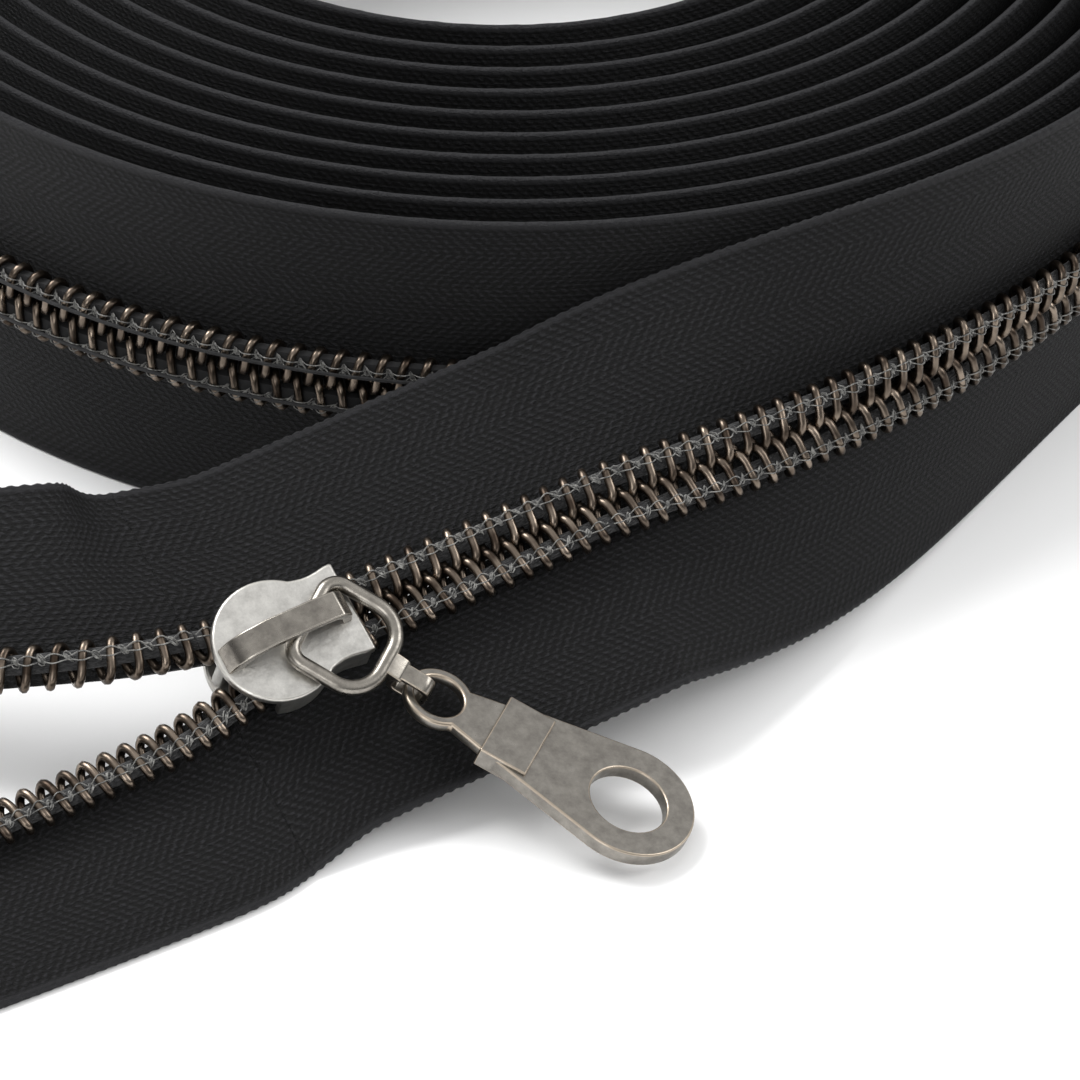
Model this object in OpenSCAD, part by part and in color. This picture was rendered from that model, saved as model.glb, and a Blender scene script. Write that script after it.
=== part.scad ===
// A coil zipper by the length: a standing roll of closed chain, a lead that leaves the
// roll and twists down over the ground, one slider with its pull, and two open ends.
// Strip frame: u along the chain, v across it (the upper tape is +v), n out of the teeth.

/* [Tape] */
// Width over both tapes when the chain is closed
tape_w = 29; // [27:0.5:32]
// Thickness of the woven tape
tape_t = 0.56; // [0.4:0.02:0.7]
// Gap between the inner edges of the two tapes
tape_gap = 0.5; // [0.2:0.1:1]

/* [Chain] */
// Distance from one coil turn to the next
pitch = 1.6; // [1.5:0.05:1.8]
// Width over both coils when closed
chain_w = 6.0; // [5.8:0.1:6.2]
// Diameter of the coil's wire
wire_d = 0.66; // [0.5:0.02:0.7]
// Height of a coil turn
coil_h = 2.1; // [1.9:0.1:2.2]
// How far each coil's heads pass the middle of the chain
overlap = 0.45; // [0.3:0.05:0.5]
// Width and height of the filler cord inside a coil
filler = [1.44, 0.68]; // [0.4:0.04:1.5]
// Diameter of the sewing thread
thread_d = 0.2; // [0.1:0.02:0.24]

/* [Layout] */
// Where the straight run starts, from the part's origin
run_at = [-37.1, -50.5]; // [-60:0.1:60]
// Tilt of the tapes about the straight run
run_tilt = 32; // [28:1:36]
// Rise of the straight run
run_rise = 9; // [7:1:10]
// Length of the straight run past its start
run_len = 23; // [22:1:26]
// Plan radius of the lead between the straight run and the roll
lead_r = 117; // [110:1:125]
// Angle that the lead turns through
lead_turn = 27.5; // [25:0.5:30]
// Length of each open end past the slider's mouth
open_len = 27; // [20:1:30]
// Radius of the roll's outermost lap
roll_r = 58; // [50:1:60]
// Distance between the roll's laps
lap = 2.95; // [2.9:0.05:3.4]
// Number of half laps in the roll
half_laps = 21; // [6:1:21]

/* [Slider] */
// Length of the slider's plates
plate_l = 10.9; // [10.5:0.1:11.5]
// Radius of the round shoulders
shoulder_r = 4.6; // [4.5:0.1:4.8]
// Width of the straight tail
tail_w = 7.2; // [7.1:0.1:7.6]
// Thickness of each plate
plate_t = 0.85; // [0.7:0.05:1]
// Width of the bridge strap
strap_w = 2.0; // [1.8:0.1:2.1]
// Thickness of the bridge strap
strap_t = 0.75; // [0.6:0.05:0.9]
// Height of the bridge above the top plate
bridge_h = 2.5; // [2.4:0.1:2.8]

/* [Pull] */
// Diameter of the ring's wire
ring_d = 0.95; // [0.8:0.05:1]
// Width and length of the ring at its wire's centre
ring_size = [6.8, 6.35]; // [6:0.05:7]
// Width of the flat hook
hook_w = 1.3; // [1.2:0.1:1.4]
// Distance from the eye's centre to the hole's centre
tab_l = 15.3; // [14:0.1:17]
// Thickness of the tab
tab_t = 1.2; // [1:0.1:1.3]
// Diameter of the tab's round end
tab_end_d = 10; // [9.4:0.2:11]
// Diameter of the tab's hole
tab_hole_d = 5.8; // [5:0.1:6]
// Yaw, dip and roll of the tab as it lies
tab_lie = [-56, -0.5, -22]; // [-60:0.5:5]

/* [Hidden] */

tape_colour = "#131316";
coil_colour = "#6b655c";
filler_colour = "#56565a";
thread_colour = "#8b8b8d";
cast_colour = "#a9a8a3";
strap_colour = "#77736b";
pull_colour = "#8a867d";

half_w = tape_w / 2;
ground_gap = 0.3;
joint_gap = 0.04;

// Heights above the tape's middle plane, and widths from the middle of the chain
coil_low = tape_t / 2 + 0.02;
coil_mid = coil_low + coil_h / 2;
coil_top = coil_low + coil_h;
turn_v = (chain_w / 2 - overlap) / 2;
turn_a = (chain_w / 2 + overlap - wire_d) / 2;
turn_b = (coil_h - wire_d) / 2;
filler_v = 1.58;
thread_n = coil_top + thread_d / 2 + 0.02;
turn_steps = 10;
turn_power = 0.7;

// Slider: plates above and below the chain, u counted from the slider's middle
slider_u = -3;
mouth_u = slider_u - plate_l / 2;
plate_n = coil_top + thread_d + 0.17;
base_n = -tape_t / 2 - 0.17;
slot_n = tape_t / 2 + 0.17;
spread_slope = 0.245;
spread_round = 1.5;

// How far each coil stands off the middle of the chain at u
function spread(u) = let(x = u - slider_u)
    spread_slope / 2 * (sqrt(x * x + spread_round * spread_round) - x);
mouth_v = turn_v + spread(mouth_u);

// A frame is [position, along, across, out]
function unit(a) = a / norm(a);
function frame(p, along, tilt) = let(
    t = unit(along),
    h = atan2(t.y, t.x),
    flat = [-sin(h) * cos(tilt), cos(h) * cos(tilt), sin(tilt)],
    w = unit(flat - (flat * t) * t)) [p, t, w, cross(t, w)];
function at(f, v, n) = f[0] + v * f[2] + n * f[3];

// The straight run, whose lower tape clears the ground at the slider's mouth
run_dir = [cos(run_rise), 0, sin(run_rise)];
run_level = frame([0, 0, 0], run_dir, run_tilt);
run_z = ground_gap - mouth_u * run_dir.z + (half_w + spread(mouth_u)) * run_level[2].z;
run_o = [run_at.x, run_at.y, run_z];
function run_frame(u) = [run_o + u * run_dir, run_level[1], run_level[2], run_level[3]];
run_end = run_o + run_len * run_dir;

// The lead: a plan arc whose tapes turn up from the run's tilt to standing on edge
lead_len = lead_r * lead_turn * PI / 180;
lead_drop = run_end.z - half_w * sin(run_tilt);
lead_lift = half_w * cos(run_tilt) * (90 - run_tilt) * pow(PI, 2) / 360;
lead_ease = lead_len * tan(run_rise) - lead_lift + 3 * lead_drop;
function lead_tilt(k) = run_tilt + (90 - run_tilt) * sin(90 * k);
function lead_point(k) = let(a = lead_turn * k)
    [run_end.x + lead_r * sin(a), run_end.y + lead_r * (1 - cos(a)),
     half_w * sin(lead_tilt(k)) + lead_drop * pow(1 - k, 3) + lead_ease * k * pow(1 - k, 8)];
function lead_frame(k) = let(e = 0.001)
    frame(lead_point(k), lead_point(k + e) - lead_point(k - e), lead_tilt(k));
lead_steps = 36;
lead_frames = [for (i = [0:lead_steps])
    i == 0 ? frame(run_end, run_dir, run_tilt) :
    i == lead_steps ? frame(lead_point(1), [cos(lead_turn), sin(lead_turn), 0], 90) :
    lead_frame(i / lead_steps)];

// The roll: half laps about two centres, each half lap's radius less by half a lap
roll_c = lead_point(1) + roll_r * [-sin(lead_turn), cos(lead_turn), 0];
roll_step = lap / 2;
roll_start = lead_turn - 90;
roll_facets = 180;

// The open ends: each leaves the mouth along the run and bends to slopes of its own
bend_len = 8;
upper_slope = [0.50, -0.38];
lower_slope = [0.02, 0.02];
upper_tilt = 50;
tilt_len = 10;
open_steps = 18;
function bend(x, a, b) = a * x + (b - a) * (x < bend_len ? x * x / (2 * bend_len) : x - bend_len / 2);
function smooth(k) = let(c = min(1, max(0, k))) c * c * (3 - 2 * c);
function open_point(x, side) = let(
    s = side > 0 ? upper_slope : lower_slope,
    v = mouth_v + bend(x, spread_slope, s[0]),
    n = bend(x, 0, s[1])) at(run_frame(mouth_u - x), side * v, n);
// The tilt at which the lower tape's selvedge lies on the ground
function ground_tilt(x, along) = let(
    rise = (open_point(x, -1).z - ground_gap) / (half_w - turn_v),
    level = 1 - along.z * along.z)
    asin(rise / sqrt(level * level + pow(rise * along.z, 2)));
function open_frame(x, side) = let(
    k = smooth(x / tilt_len),
    path = unit(open_point(x - 0.01, side) - open_point(x + 0.01, side)),
    along = unit(k * path + (1 - k) * run_dir),
    tilt = side > 0 ? run_tilt + (upper_tilt - run_tilt) * k : ground_tilt(x, along),
    f = frame(open_point(x, side), along, tilt))
    [at(f, -side * turn_v, 0), f[1], f[2], f[3]];
open_start = joint_gap;

// Frames of each stretch of one tape, from its low-u end to its high-u end
function run_frames(side, steps) = [for (i = [0:steps])
    let(u = mouth_u + (run_len - mouth_u) * i / steps, f = run_frame(u))
    [at(f, side * spread(u), 0), f[1], f[2], f[3]]];
function open_frames(side, steps) = [for (i = [steps:-1:0])
    open_frame(open_start + (open_len - open_start) * i / steps, side)];

// Rings of points about the frames, counter-clockwise about the way along
function ellipse_ring(f, v, n, size, count, twist = 0) = [for (j = [0:count - 1])
    let(a = 360 * (j + twist) / count) at(f, v + size[0] / 2 * cos(a), n + size[1] / 2 * sin(a))];
function box_ring(f, v0, v1, n0, n1) = [at(f, v0, n0), at(f, v1, n0), at(f, v1, n1), at(f, v0, n1)];

module sweep(rings) {
    k = len(rings[0]);
    m = len(rings);
    sides = [for (i = [0:m - 2], j = [0:k - 1])
        let(j1 = (j + 1) % k) each [[i * k + j, (i + 1) * k + j, (i + 1) * k + j1],
            [i * k + j, (i + 1) * k + j1, i * k + j1]]];
    start = [[for (j = [0:k - 1]) j]];
    end = [[for (j = [k - 1:-1:0]) (m - 1) * k + j]];
    polyhedron([for (r = rings) each r], concat(sides, start, end), convexity = 6);
}

// A hollow sweep, between outer rings and inner rings of the same count
module hollow_sweep(outer, inner) {
    k = len(outer[0]);
    m = len(outer);
    o = m * k;
    walls = [for (i = [0:m - 2], j = [0:k - 1])
        let(j1 = (j + 1) % k, a = i * k + j, b = a + k, c = i * k + j1, d = c + k)
        each [[a, b, d], [a, d, c], [o + a, o + d, o + b], [o + a, o + c, o + d]]];
    caps = [for (j = [0:k - 1]) let(j1 = (j + 1) % k, e = (m - 1) * k)
        each [[j, j1, o + j1], [j, o + j1, o + j],
            [e + j, o + e + j1, e + j1], [e + j, o + e + j, o + e + j1]]];
    polyhedron(concat([for (r = outer) each r], [for (r = inner) each r]), concat(walls, caps),
        convexity = 8);
}

// The side of a strip from its inner edge to its selvedge
module tape(frames, side) {
    lo = side > 0 ? tape_gap / 2 : -half_w;
    hi = side > 0 ? half_w : -tape_gap / 2;
    sweep([for (f = frames) box_ring(f, lo, hi, -tape_t / 2, tape_t / 2)]);
}

// A coil's turns as one wire, wound through the frames that frame_at gives for u
function curved(c) = sign(c) * pow(abs(c), turn_power);
function turn_point(f, side, a) = at(f, side * (turn_v - turn_a * curved(cos(a))),
    coil_mid + turn_b * curved(sin(a)));

module wire(points) {
    r = wire_d / 2;
    sides = 5;
    last = len(points) - 1;
    rings = [for (i = [0:last]) let(
        t = unit(points[min(i + 1, last)] - points[max(i - 1, 0)]),
        x = unit(cross([0.3, 0.2, 0.93], t)),
        y = cross(t, x)) [for (j = [0:sides - 1])
            points[i] + r * (cos(360 * j / sides) * x + sin(360 * j / sides) * y)]];
    sweep(rings);
}

function run_turns(side, phase) = [
    for (i = [0:floor((run_len - mouth_u - wire_d - phase) / pitch * turn_steps)])
    let(u = mouth_u + wire_d / 2 + phase + i * pitch / turn_steps, f = run_frame(u))
    turn_point([at(f, side * spread(u), 0), f[1], f[2], f[3]], side, 360 * i / turn_steps)];

function open_turns(side) = [
    for (i = [0:floor((open_len - wire_d - 0.3) / pitch * turn_steps)])
    let(x = wire_d / 2 + 0.1 + i * pitch / turn_steps)
    turn_point(open_frame(x, side), side, -360 * i / turn_steps)];

// The chain's band on the lead: the outline of the turns around the filler cord
module coil_band(frames, side) {
    mid = side * (chain_w / 4 + 0.02);
    size = [chain_w / 2 - 0.06, coil_h];
    hollow = [filler[0] + 0.12, filler[1] + 0.12];
    hollow_sweep([for (f = frames) ellipse_ring(f, mid, coil_mid, size * 1.06, 8, 0.5)],
        [for (f = frames) ellipse_ring(f, side * filler_v, coil_mid, hollow, 8, 0.5)]);
}
module filler_cord(frames, side) {
    sweep([for (f = frames) ellipse_ring(f, side * filler_v, coil_mid, filler, 8, 0.5)]);
}
module thread_line(frames, side) {
    sweep([for (f = frames)
        ellipse_ring(f, side * filler_v, thread_n, [thread_d, thread_d], 4, 0.5)]);
}

// Half laps of a radial outline, given as children at x = distance from the lap's tape
module laps() {
    for (i = [0:half_laps - 1]) {
        shift = (i % 2) * roll_step;
        translate([roll_c.x, roll_c.y, 0])
            rotate([0, 0, roll_start + 180 * (i % 2)])
            translate([shift, 0, 0])
            rotate_extrude(angle = 180, $fn = roll_facets)
            translate([roll_r - i * roll_step, half_w])
            children();
    }
}
module tape_profile(side) {
    translate([-tape_t / 2, side > 0 ? tape_gap / 2 : -half_w])
        square([tape_t, half_w - tape_gap / 2]);
}
module filler_profile(side, grow) {
    translate([coil_mid - (filler[1] + grow) / 2, side * filler_v - (filler[0] + grow) / 2])
        square([filler[1] + grow, filler[0] + grow]);
}
module coil_profile(side) {
    difference() {
        translate([coil_low, side > 0 ? 0.04 : -chain_w / 2])
            square([coil_h, chain_w / 2 - 0.04]);
        filler_profile(side, 0.12);
    }
}
module thread_profile(side) {
    translate([thread_n - thread_d / 2, side * filler_v - thread_d / 2])
        square([thread_d, thread_d]);
}

module tape_roll(side) { color(tape_colour) laps() tape_profile(side); }
module coil_roll(side) { color(coil_colour) laps() coil_profile(side); }
module filler_roll(side) { color(filler_colour) laps() filler_profile(side, 0); }
module thread_roll(side) { color(thread_colour) laps() thread_profile(side); }

module tape_lead(side) { color(tape_colour) tape(lead_frames, side); }
module coil_lead(side) { color(coil_colour) coil_band(lead_frames, side); }
module filler_lead(side) { color(filler_colour) filler_cord(lead_frames, side); }
module thread_lead(side) { color(thread_colour) thread_line(lead_frames, side); }

// The run is straight, so its tape is a plain outline raised by the tape's thickness
module on_run() {
    f = run_frame(0);
    multmatrix([[f[1].x, f[2].x, f[3].x, f[0].x], [f[1].y, f[2].y, f[3].y, f[0].y],
        [f[1].z, f[2].z, f[3].z, f[0].z], [0, 0, 0, 1]]) children();
}
module tape_run(side) {
    steps = 24;
    us = [for (i = [0:steps]) mouth_u + (run_len - mouth_u) * i / steps];
    inner = [for (u = us) [u, side * (tape_gap / 2 + spread(u))]];
    outer = [for (i = [steps:-1:0]) [us[i], side * (half_w + spread(us[i]))]];
    color(tape_colour) on_run() translate([0, 0, -tape_t / 2])
        linear_extrude(tape_t) polygon(concat(inner, outer));
}
module coil_run(side) {
    color(coil_colour) wire(run_turns(side, side > 0 ? 0 : pitch / 2));
}
module filler_run(side) { color(filler_colour) filler_cord(run_frames(side, 20), side); }
module thread_run(side) { color(thread_colour) thread_line(run_frames(side, 20), side); }

module tape_open(side) { color(tape_colour) tape(open_frames(side, open_steps), side); }
module coil_open(side) { color(coil_colour) wire(open_turns(side)); }
module filler_open(side) { color(filler_colour) filler_cord(open_frames(side, open_steps), side); }
module thread_open(side) { color(thread_colour) thread_line(open_frames(side, open_steps), side); }

// The slider's own place: u = 0 at its middle, n as on the run
module on_slider() { on_run() translate([slider_u, 0, 0]) children(); }

module plate_outline() {
    tail_end = plate_l / 2;
    translate([shoulder_r - tail_end, 0]) circle(shoulder_r, $fn = 96);
    translate([0, -tail_w / 2]) square([tail_end, tail_w]);
}
// The side walls keep clear of the coils, which part towards the mouth
module side_wall(side) {
    wall_from = -2.4;
    clear = 0.12;
    steps = 8;
    tail_end = plate_l / 2;
    inner = [for (i = [0:steps]) let(u = wall_from + (tail_end - wall_from) * i / steps)
        [u, side * (chain_w / 2 + clear + spread(u + slider_u))]];
    intersection() {
        plate_outline();
        polygon(concat(inner, [[tail_end, side * 6], [wall_from, side * 6]]));
    }
}
module diamond_outline() {
    half = [[-5.3, 0.2], [-5.1, 0.5], [-4.8, 0.58], [-4, 0.42], [-3, 0.2], [-2.4, 0.06]];
    polygon(concat(half, [for (i = [len(half) - 1:-1:0]) [half[i].x, -half[i].y]]));
}
module slider_body() {
    color(cast_colour) on_slider() {
        translate([0, 0, base_n - plate_t]) linear_extrude(plate_t) plate_outline();
        translate([0, 0, plate_n]) linear_extrude(plate_t) plate_outline();
        for (side = [-1, 1]) {
            translate([0, 0, slot_n]) linear_extrude(plate_n - slot_n) side_wall(side);
        }
        translate([0, 0, base_n]) linear_extrude(plate_n - base_n) diamond_outline();
    }
}

// The strap's side outline: a steep foot at the mouth, a long low crown, a short foot
bridge_out = [[-5.1, 0], [-4.5, 1.1], [-3.3, 2.0], [-1.6, bridge_h], [1.8, bridge_h],
    [3.9, 2.2], [4.6, 1.5], [4.85, 0]];
bridge_in = [[4.1, 0], [3.8, 1.2], [3.2, bridge_h - strap_t - 0.05], [1.6, bridge_h - strap_t],
    [-1.4, bridge_h - strap_t], [-2.8, 1.35], [-3.7, 0.6], [-3.95, 0]];
module slider_bridge() {
    color(strap_colour) on_slider() translate([0, strap_w / 2, plate_n + plate_t])
        rotate([90, 0, 0]) linear_extrude(strap_w) polygon(concat(bridge_out, bridge_in));
}

// The ring lies on the slider: its bar is under the bridge, its neck points to the eye
ring_yaw = -55;
ring_dip = 5;
ring_at = [1.85, 0.35, plate_n + plate_t + ring_d / 2 + 0.4];
hook_p = 8.7;
hook_drop = -1.3;
hook_size = [3.1, 2.9];
hook_t = 0.45;
corner_bar = 1.2;
corner_neck = 2.5;
// The neck's side outline, from the ring's far bar to the hook's near corner
neck = [[-0.5, -0.4], [0.45, -0.75], [1.03, -1.05], [1.03, -0.7], [1.2, -0.28], [1.7, -0.08],
    [1.3, 0.28], [0.3, 0.42], [-0.15, 0.42]];
module on_ring() {
    on_slider() translate(ring_at) rotate([0, 0, ring_yaw]) rotate([0, ring_dip, 0]) children();
}

module rod(a, b) {
    d = b - a;
    translate(a) rotate([0, 90, atan2(d.y, d.x)]) cylinder(h = norm(d), d = ring_d, $fn = 24);
}
module bend_rod(c, r, from, sweep_a) {
    translate([c.x, c.y, 0]) rotate([0, 0, from])
        rotate_extrude(angle = sweep_a, $fn = 48) translate([r, 0]) circle(d = ring_d, $fn = 24);
}
module ring() {
    q = ring_size[0] / 2;
    p = ring_size[1];
    a = corner_bar;
    b = corner_neck;
    rod([0, -(q - a), 0], [0, q - a, 0]);
    rod([p, -(q - b), 0], [p, q - b, 0]);
    for (s = [-1, 1]) {
        rod([a, s * q, 0], [p - b, s * q, 0]);
        bend_rod([a, s * (q - a)], a, s > 0 ? 90 : 180, 90);
        bend_rod([p - b, s * (q - b)], b, s > 0 ? 0 : 270, 90);
    }
}
module round_box(size, r) {
    for (x = [-1, 1], y = [-1, 1]) {
        translate([x * (size[0] / 2 - r), y * (size[1] / 2 - r)]) circle(r, $fn = 32);
    }
    square([size[0] - 2 * r, size[1]], center = true);
    square([size[0], size[1] - 2 * r], center = true);
}
module hook() {
    translate([hook_p, hook_w / 2, hook_drop]) rotate([90, 0, 0]) linear_extrude(hook_w)
        difference() {
            round_box(hook_size, 0.85);
            round_box(hook_size - [2 * hook_t, 2 * hook_t], 0.4);
        }
    translate([ring_size[1], hook_w / 2, 0]) rotate([90, 0, 0]) linear_extrude(hook_w) polygon(neck);
}
module pull_link() { color(pull_colour) on_ring() { ring(); hook(); } }

// The tab, drawn from its eye's centre along x
eye_r = 2.6;
eye_hole_r = 1.85;
collar = [4.4, 8.1, 6.1];
collar_t = 1.7;
eye_wire = eye_r - (eye_r - eye_hole_r) / 2;
eye_t = 0.85;
eye_at = [hook_p + eye_wire, 0, hook_drop];
module on_tab() {
    on_ring() translate(eye_at) rotate([0, 0, tab_lie[0] - ring_yaw])
        rotate([0, tab_lie[1] - ring_dip, 0]) rotate([tab_lie[2], 0, 0]) children();
}
module tab_outline() {
    hull() {
        translate([collar[0], -collar[2] / 2 + 0.25]) square([1, collar[2] - 0.5]);
        translate([tab_l, 0]) circle(d = tab_end_d, $fn = 96);
    }
}
module pull_tab() {
    color(pull_colour) on_tab() difference() {
        union() {
            translate([0, 0, -tab_t / 2]) linear_extrude(tab_t) tab_outline();
            translate([collar[0], -collar[2] / 2, -collar_t / 2])
                cube([collar[1] - collar[0], collar[2], collar_t]);
            translate([0, 0, -eye_t / 2]) cylinder(h = eye_t, r = eye_r, $fn = 64);
            translate([0, 0, -eye_t / 2]) linear_extrude(eye_t)
                polygon([[1.6, 1.7], [collar[0] + 0.2, 2.6], [collar[0] + 0.2, -2.6], [1.6, -1.7]]);
        }
        translate([tab_l, 0, -2]) cylinder(h = 4, d = tab_hole_d, $fn = 64);
        translate([0, 0, -2]) cylinder(h = 4, r = eye_hole_r, $fn = 64);
    }
}

tape_roll(1);  // tape_upper_roll
tape_roll(-1);  // tape_lower_roll
coil_roll(1);  // coil_upper_roll
coil_roll(-1);  // coil_lower_roll
filler_roll(1);  // filler_upper_roll
filler_roll(-1);  // filler_lower_roll
thread_roll(1);  // thread_upper_roll
thread_roll(-1);  // thread_lower_roll
tape_lead(1);  // tape_upper_lead
tape_lead(-1);  // tape_lower_lead
coil_lead(1);  // coil_upper_lead
coil_lead(-1);  // coil_lower_lead
filler_lead(1);  // filler_upper_lead
filler_lead(-1);  // filler_lower_lead
thread_lead(1);  // thread_upper_lead
thread_lead(-1);  // thread_lower_lead
tape_run(1);  // tape_upper_run
tape_run(-1);  // tape_lower_run
coil_run(1);  // coil_upper_run
coil_run(-1);  // coil_lower_run
filler_run(1);  // filler_upper_run
filler_run(-1);  // filler_lower_run
thread_run(1);  // thread_upper_run
thread_run(-1);  // thread_lower_run
tape_open(1);  // tape_upper_open
tape_open(-1);  // tape_lower_open
coil_open(1);  // coil_upper_open
coil_open(-1);  // coil_lower_open
filler_open(1);  // filler_upper_open
filler_open(-1);  // filler_lower_open
thread_open(1);  // thread_upper_open
thread_open(-1);  // thread_lower_open
slider_body();
slider_bridge();
pull_link();
pull_tab();
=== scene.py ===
import math

import bmesh
import bpy
import numpy as np
from mathutils import Matrix, Vector


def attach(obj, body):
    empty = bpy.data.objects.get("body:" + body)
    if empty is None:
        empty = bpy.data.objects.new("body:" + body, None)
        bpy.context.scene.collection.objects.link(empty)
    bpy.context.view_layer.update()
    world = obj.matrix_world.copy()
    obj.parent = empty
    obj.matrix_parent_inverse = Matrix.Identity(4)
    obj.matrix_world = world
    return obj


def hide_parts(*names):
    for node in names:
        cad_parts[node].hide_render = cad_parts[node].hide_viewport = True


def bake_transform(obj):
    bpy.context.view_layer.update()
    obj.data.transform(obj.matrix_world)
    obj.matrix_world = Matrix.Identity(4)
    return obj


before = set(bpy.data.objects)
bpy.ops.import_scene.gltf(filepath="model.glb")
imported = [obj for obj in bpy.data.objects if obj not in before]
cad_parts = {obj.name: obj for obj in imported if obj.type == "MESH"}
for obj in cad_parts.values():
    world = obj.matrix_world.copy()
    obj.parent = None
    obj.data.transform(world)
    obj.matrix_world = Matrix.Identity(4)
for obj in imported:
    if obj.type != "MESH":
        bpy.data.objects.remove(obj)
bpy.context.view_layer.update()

# The camera stands about half a metre from the slider and looks down on it, with a long lens.
# The floor is a plain pale sheet, and the light is a soft box above and two at the sides.
MM = 0.001
VIEW_TURN, VIEW_RISE, VIEW_ROLL = (math.radians(a) for a in (-31.2, 36.55, -2.98))
VIEW_AT = Vector((-14.75, -43.7, 6.5)) * MM
VIEW_AWAY = 0.523
LENS = 237.0

back = Vector((math.sin(VIEW_TURN) * math.cos(VIEW_RISE), -math.cos(VIEW_TURN) * math.cos(VIEW_RISE),
               math.sin(VIEW_RISE)))
right = Vector((math.cos(VIEW_TURN), math.sin(VIEW_TURN), 0))
up = back.cross(right)
rolled_right = right * math.cos(VIEW_ROLL) - up * math.sin(VIEW_ROLL)
rolled_up = right * math.sin(VIEW_ROLL) + up * math.cos(VIEW_ROLL)
lens = bpy.data.cameras.new("camera")
lens.lens, lens.sensor_width, lens.clip_start, lens.clip_end = LENS, 36, 0.01, 20
camera = bpy.data.objects.new("camera", lens)
bpy.context.scene.collection.objects.link(camera)
camera.matrix_world = Matrix.Translation(VIEW_AT + back * VIEW_AWAY) @ Matrix(
    (rolled_right, rolled_up, back)).transposed().to_4x4()
bpy.context.scene.camera = camera


def linear(code):
    """An sRGB hex colour as the linear values that the shaders take."""
    parts = [int(code[i:i + 2], 16) / 255 for i in (1, 3, 5)]
    return [c / 12.92 if c <= 0.04045 else ((c + 0.055) / 1.055) ** 2.4 for c in parts] + [1]


def add(tree, kind, links=None, **settings):
    """A node of that kind with its settings, and its inputs set to values or linked to sockets."""
    node = tree.nodes.new("ShaderNode" + kind)
    for name, value in settings.items():
        setattr(node, name, value)
    for name, value in (links or {}).items():
        if isinstance(value, bpy.types.NodeSocket):
            tree.links.new(value, node.inputs[name])
        else:
            node.inputs[name].default_value = value
    return node


def finish_of(name, **values):
    """A new material, its node tree and its shader, which takes these constant values."""
    material = bpy.data.materials.new(name)
    material.use_nodes = True
    shader = material.node_tree.nodes["Principled BSDF"]
    for socket, value in values.items():
        shader.inputs[socket.replace("_", " ")].default_value = value
    return material, material.node_tree, shader


floor_bm = bmesh.new()
bmesh.ops.create_grid(floor_bm, x_segments=1, y_segments=1, size=3)
floor = bpy.data.objects.new("floor", bpy.data.meshes.new("floor"))
floor_bm.to_mesh(floor.data)
bpy.context.scene.collection.objects.link(floor)
paper, _, paper_shader = finish_of("pale_paper_floor", Roughness=0.9)
paper_shader.inputs["Base Color"].default_value = linear("#f4f4f4")
floor.data.materials.append(paper)

world = bpy.data.worlds.new("studio")
world.use_nodes = True
world_tree = world.node_tree
direction = add(world_tree, "TexCoord").outputs["Generated"]
height = add(world_tree, "SeparateXYZ", {"Vector": direction}).outputs["Z"]
dome = add(world_tree, "ValToRGB", {"Fac": height})
dome.color_ramp.elements[0].position, dome.color_ramp.elements[0].color = 0.12, linear("#3c3c3e")
dome.color_ramp.elements[1].position, dome.color_ramp.elements[1].color = 0.62, linear("#ffffff")
world_tree.links.new(dome.outputs["Color"], world_tree.nodes["Background"].inputs["Color"])
world_tree.nodes["Background"].inputs["Strength"].default_value = 0.95
bpy.context.scene.world = world
LAMPS_AT = Vector((-0.02, -0.03, 0.01))
LAMPS = {
    "key": (Vector((-0.25, 0.3, 0.55)), 0.35, 4.5),
    "side": (Vector((0.5, -0.35, 0.45)), 0.4, 2.0),
    "low": (Vector((-0.5, -0.5, 0.25)), 0.3, 1.2),
}
for name, (place, size, power) in LAMPS.items():
    light = bpy.data.lights.new(name, "AREA")
    light.size, light.energy = size, power
    lamp = bpy.data.objects.new(name, light)
    bpy.context.scene.collection.objects.link(lamp)
    lamp.location = place
    lamp.rotation_euler = (LAMPS_AT - place).to_track_quat("-Z", "Y").to_euler()
bpy.context.scene.view_settings.view_transform = "Standard"


# The tapes: two bands of black polyester woven in herringbone, each with a corded, beaded selvedge.
# They run from the open ends, through the slider, and along the lead into the standing roll.
TAPE_WIDE, TAPE_THICK = 29.0, 0.56
RUN_RISE, RUN_TILT, RUN_LONG = math.radians(9), math.radians(32), 23.0
SLIDER_U, PLATE_LONG = -3.0, 10.9
MOUTH_U = SLIDER_U - PLATE_LONG / 2
SPREAD_SLOPE, SPREAD_ROUND = 0.245, 1.5
TURN_V = 1.275
GROUND_GAP, JOINT_GAP = 0.3, 0.04
LEAD_R, LEAD_TURN = 117.0, math.radians(27.5)
ROLL_R, LAP, HALF_LAPS = 58.0, 2.95, 21
OPEN_LONG, BEND_LONG, TILT_LONG = 27.0, 8.0, 10.0
UPPER_SLOPE, LOWER_SLOPE, UPPER_TILT = (0.50, -0.38), (0.02, 0.02), math.radians(50)
HALF_WIDE = TAPE_WIDE / 2


def place_on(point, along, tilt):
    """A frame: position, along, across and out, for tapes at this tilt about the way along."""
    t = along.normalized()
    heading = math.atan2(t.y, t.x)
    flat = Vector((-math.sin(heading) * math.cos(tilt), math.cos(heading) * math.cos(tilt), math.sin(tilt)))
    w = (flat - flat.dot(t) * t).normalized()
    return point, t, w, t.cross(w)


def spread(u):
    """How far each coil stands off the middle of the chain."""
    x = u - SLIDER_U
    return SPREAD_SLOPE / 2 * (np.sqrt(x * x + SPREAD_ROUND ** 2) - x)


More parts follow.
